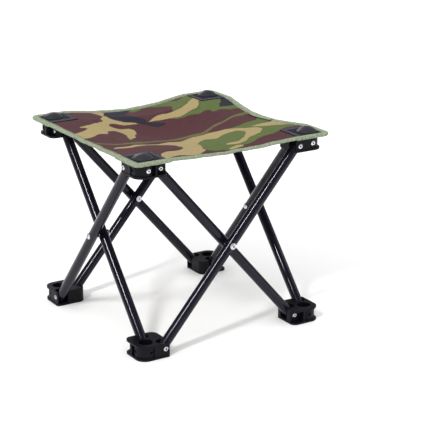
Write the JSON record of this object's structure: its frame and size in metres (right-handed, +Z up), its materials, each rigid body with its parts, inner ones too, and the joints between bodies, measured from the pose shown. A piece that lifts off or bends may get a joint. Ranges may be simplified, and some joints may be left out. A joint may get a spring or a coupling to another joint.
{
  "type": "folding camp stool",
  "caption": "Low folding camp stool: crossed steel tubes riveted into corner brackets and feet, with a square camouflage fabric seat bound in tape and held by corner buttons.",
  "frame": {"origin": "on the floor under the middle of the seat", "axes": "+Z up from the floor to the seat; -Y is the front and +X is to the right as seen from the front"},
  "size_m": [0.285, 0.285, 0.2628],
  "materials": {
    "moulded_plastic": "fine-grained moulded black plastic",
    "tube_paint": "gloss black paint on steel tube",
    "rivet_metal": "bright plated rivets and washers",
    "camouflage_cloth": "woven polyester printed with a woodland camouflage pattern",
    "binding_tape": "ribbed sage-green binding tape",
    "patch_cloth": "black woven patch cloth",
    "button_plastic": "glossy domed black plastic"
  },
  "bodies": {
    "foot_front_left": {"foot_front_left": "moulded_plastic", "foot_rivets_front_left": "rivet_metal"},
    "bracket_front_left": {"seat_bracket_front_left": "moulded_plastic", "bracket_rivets_front_left": "rivet_metal", "corner_binding_front_left": "binding_tape", "corner_patch_front_left": "patch_cloth", "seat_button_front_left": "button_plastic", "lock_rivet_front_left": "rivet_metal"},
    "foot_front_right": {"foot_front_right": "moulded_plastic", "foot_rivets_front_right": "rivet_metal"},
    "bracket_front_right": {"seat_bracket_front_right": "moulded_plastic", "bracket_rivets_front_right": "rivet_metal", "corner_binding_front_right": "binding_tape", "corner_patch_front_right": "patch_cloth", "seat_button_front_right": "button_plastic", "lock_rivet_front_right": "rivet_metal"},
    "foot_back_right": {"foot_back_right": "moulded_plastic", "foot_rivets_back_right": "rivet_metal"},
    "bracket_back_right": {"seat_bracket_back_right": "moulded_plastic", "bracket_rivets_back_right": "rivet_metal", "corner_binding_back_right": "binding_tape", "corner_patch_back_right": "patch_cloth", "seat_button_back_right": "button_plastic", "lock_rivet_back_right": "rivet_metal"},
    "foot_back_left": {"foot_back_left": "moulded_plastic", "foot_rivets_back_left": "rivet_metal"},
    "bracket_back_left": {"seat_bracket_back_left": "moulded_plastic", "bracket_rivets_back_left": "rivet_metal", "corner_binding_back_left": "binding_tape", "corner_patch_back_left": "patch_cloth", "seat_button_back_left": "button_plastic", "lock_rivet_back_left": "rivet_metal"},
    "outer_front": {"outer_tube_front": "tube_paint", "cross_rivet_front": "rivet_metal", "cross_washers_front": "rivet_metal"},
    "inner_front": {"inner_tube_front": "tube_paint"},
    "seat_front": {"seat_panel_front": "camouflage_cloth", "edge_binding_front": "binding_tape"},
    "outer_right": {"outer_tube_right": "tube_paint", "cross_rivet_right": "rivet_metal", "cross_washers_right": "rivet_metal"},
    "inner_right": {"inner_tube_right": "tube_paint"},
    "seat_right": {"seat_panel_right": "camouflage_cloth", "edge_binding_right": "binding_tape"},
    "outer_back": {"outer_tube_back": "tube_paint", "cross_rivet_back": "rivet_metal", "cross_washers_back": "rivet_metal"},
    "inner_back": {"inner_tube_back": "tube_paint"},
    "seat_back": {"seat_panel_back": "camouflage_cloth", "edge_binding_back": "binding_tape"},
    "outer_left": {"outer_tube_left": "tube_paint", "cross_rivet_left": "rivet_metal", "cross_washers_left": "rivet_metal"},
    "inner_left": {"inner_tube_left": "tube_paint"},
    "seat_left": {"seat_panel_left": "camouflage_cloth", "edge_binding_left": "binding_tape"}
  },
  "joints": [
    {"name": "fold", "type": "hinge", "parent": "foot_front_left", "child": "outer_front", "pos_m": [-0.1, -0.127, 0.0115], "axis": [0, -1, 0], "range_deg": [0, 37.8]},
    {"name": "front_cross", "type": "hinge", "parent": "outer_front", "child": "inner_front", "pos_m": [0, -0.12, 0.127], "axis": [0, 1, 0], "range_deg": [0, 75.62]},
    {"name": "front_outer_top", "type": "hinge", "parent": "outer_front", "child": "bracket_front_right", "pos_m": [0.1, -0.127, 0.2425], "axis": [0, 1, 0], "range_deg": [0, 37.82]},
    {"name": "front_inner_foot", "type": "hinge", "parent": "inner_front", "child": "foot_front_right", "pos_m": [0.1, -0.113, 0.0115], "axis": [0, -1, 0], "range_deg": [0, 37.82]},
    {"name": "front_inner_top", "type": "hinge", "parent": "inner_front", "child": "bracket_front_left", "pos_m": [-0.1, -0.113, 0.2425], "axis": [0, -1, 0], "range_deg": [0, 37.82]},
    {"name": "left_inner_foot", "type": "hinge", "parent": "foot_front_left", "child": "inner_left", "pos_m": [-0.113, -0.1, 0.0115], "axis": [1, 0, 0], "range_deg": [0, 37.82]},
    {"name": "left_cross", "type": "hinge", "parent": "inner_left", "child": "outer_left", "pos_m": [-0.12, 0, 0.127], "axis": [-1, 0, 0], "range_deg": [0, 75.62]},
    {"name": "left_inner_top", "type": "hinge", "parent": "inner_left", "child": "bracket_back_left", "pos_m": [-0.113, 0.1, 0.2425], "axis": [-1, 0, 0], "range_deg": [0, 37.82]},
    {"name": "left_outer_foot", "type": "hinge", "parent": "outer_left", "child": "foot_back_left", "pos_m": [-0.127, 0.1, 0.0115], "axis": [1, 0, 0], "range_deg": [0, 37.82]},
    {"name": "right_inner_top", "type": "hinge", "parent": "bracket_front_right", "child": "inner_right", "pos_m": [0.113, -0.1, 0.2425], "axis": [-1, 0, 0], "range_deg": [0, 37.82]},
    {"name": "right_inner_foot", "type": "hinge", "parent": "inner_right", "child": "foot_back_right", "pos_m": [0.113, 0.1, 0.0115], "axis": [1, 0, 0], "range_deg": [0, 37.82]},
    {"name": "right_outer_foot", "type": "hinge", "parent": "foot_front_right", "child": "outer_right", "pos_m": [0.127, -0.1, 0.0115], "axis": [1, 0, 0], "range_deg": [0, 37.82]},
    {"name": "right_outer_top", "type": "hinge", "parent": "outer_right", "child": "bracket_back_right", "pos_m": [0.127, 0.1, 0.2425], "axis": [-1, 0, 0], "range_deg": [0, 37.82]},
    {"name": "back_outer_top", "type": "hinge", "parent": "bracket_back_left", "child": "outer_back", "pos_m": [-0.1, 0.127, 0.2425], "axis": [0, 1, 0], "range_deg": [0, 37.82]},
    {"name": "back_inner_foot", "type": "hinge", "parent": "foot_back_left", "child": "inner_back", "pos_m": [-0.1, 0.113, 0.0115], "axis": [0, -1, 0], "range_deg": [0, 37.82]},
    {"name": "seat_front_lift", "type": "hinge", "parent": "bracket_front_left", "child": "seat_front", "pos_m": [-0.12, -0.143, 0.2547], "axis": [1, 0, 0], "range_deg": [0, 78.02], "deforming": ["seat_panel_front", "edge_binding_front"]},
    {"name": "seat_right_lift", "type": "hinge", "parent": "bracket_front_right", "child": "seat_right", "pos_m": [0.143, -0.12, 0.2547], "axis": [0, 1, 0], "range_deg": [0, 78.02], "deforming": ["seat_panel_right", "edge_binding_right"]},
    {"name": "seat_back_lift", "type": "hinge", "parent": "bracket_back_right", "child": "seat_back", "pos_m": [0.12, 0.143, 0.2547], "axis": [-1, 0, 0], "range_deg": [0, 78.02], "deforming": ["seat_panel_back", "edge_binding_back"]},
    {"name": "seat_left_lift", "type": "hinge", "parent": "bracket_back_left", "child": "seat_left", "pos_m": [-0.143, 0.12, 0.2547], "axis": [0, -1, 0], "range_deg": [0, 78.02], "deforming": ["seat_panel_left", "edge_binding_left"]}
  ],
  "couplings": [
    {"joint": "front_cross", "follows": "fold", "ratio": 2},
    {"joint": "front_outer_top", "follows": "fold", "ratio": 1},
    {"joint": "front_inner_foot", "follows": "fold", "ratio": 1},
    {"joint": "front_inner_top", "follows": "fold", "ratio": 1},
    {"joint": "left_inner_foot", "follows": "fold", "ratio": 1},
    {"joint": "left_cross", "follows": "fold", "ratio": 2},
    {"joint": "left_inner_top", "follows": "fold", "ratio": 1},
    {"joint": "left_outer_foot", "follows": "fold", "ratio": 1},
    {"joint": "right_inner_top", "follows": "fold", "ratio": 1},
    {"joint": "right_inner_foot", "follows": "fold", "ratio": 1},
    {"joint": "right_outer_foot", "follows": "fold", "ratio": 1},
    {"joint": "right_outer_top", "follows": "fold", "ratio": 1},
    {"joint": "back_outer_top", "follows": "fold", "ratio": 1},
    {"joint": "back_inner_foot", "follows": "fold", "ratio": 1},
    {"joint": "seat_front_lift", "follows": "fold", "ratio": 2.0635},
    {"joint": "seat_right_lift", "follows": "fold", "ratio": 2.0635},
    {"joint": "seat_back_lift", "follows": "fold", "ratio": 2.0635},
    {"joint": "seat_left_lift", "follows": "fold", "ratio": 2.0635}
  ]
}
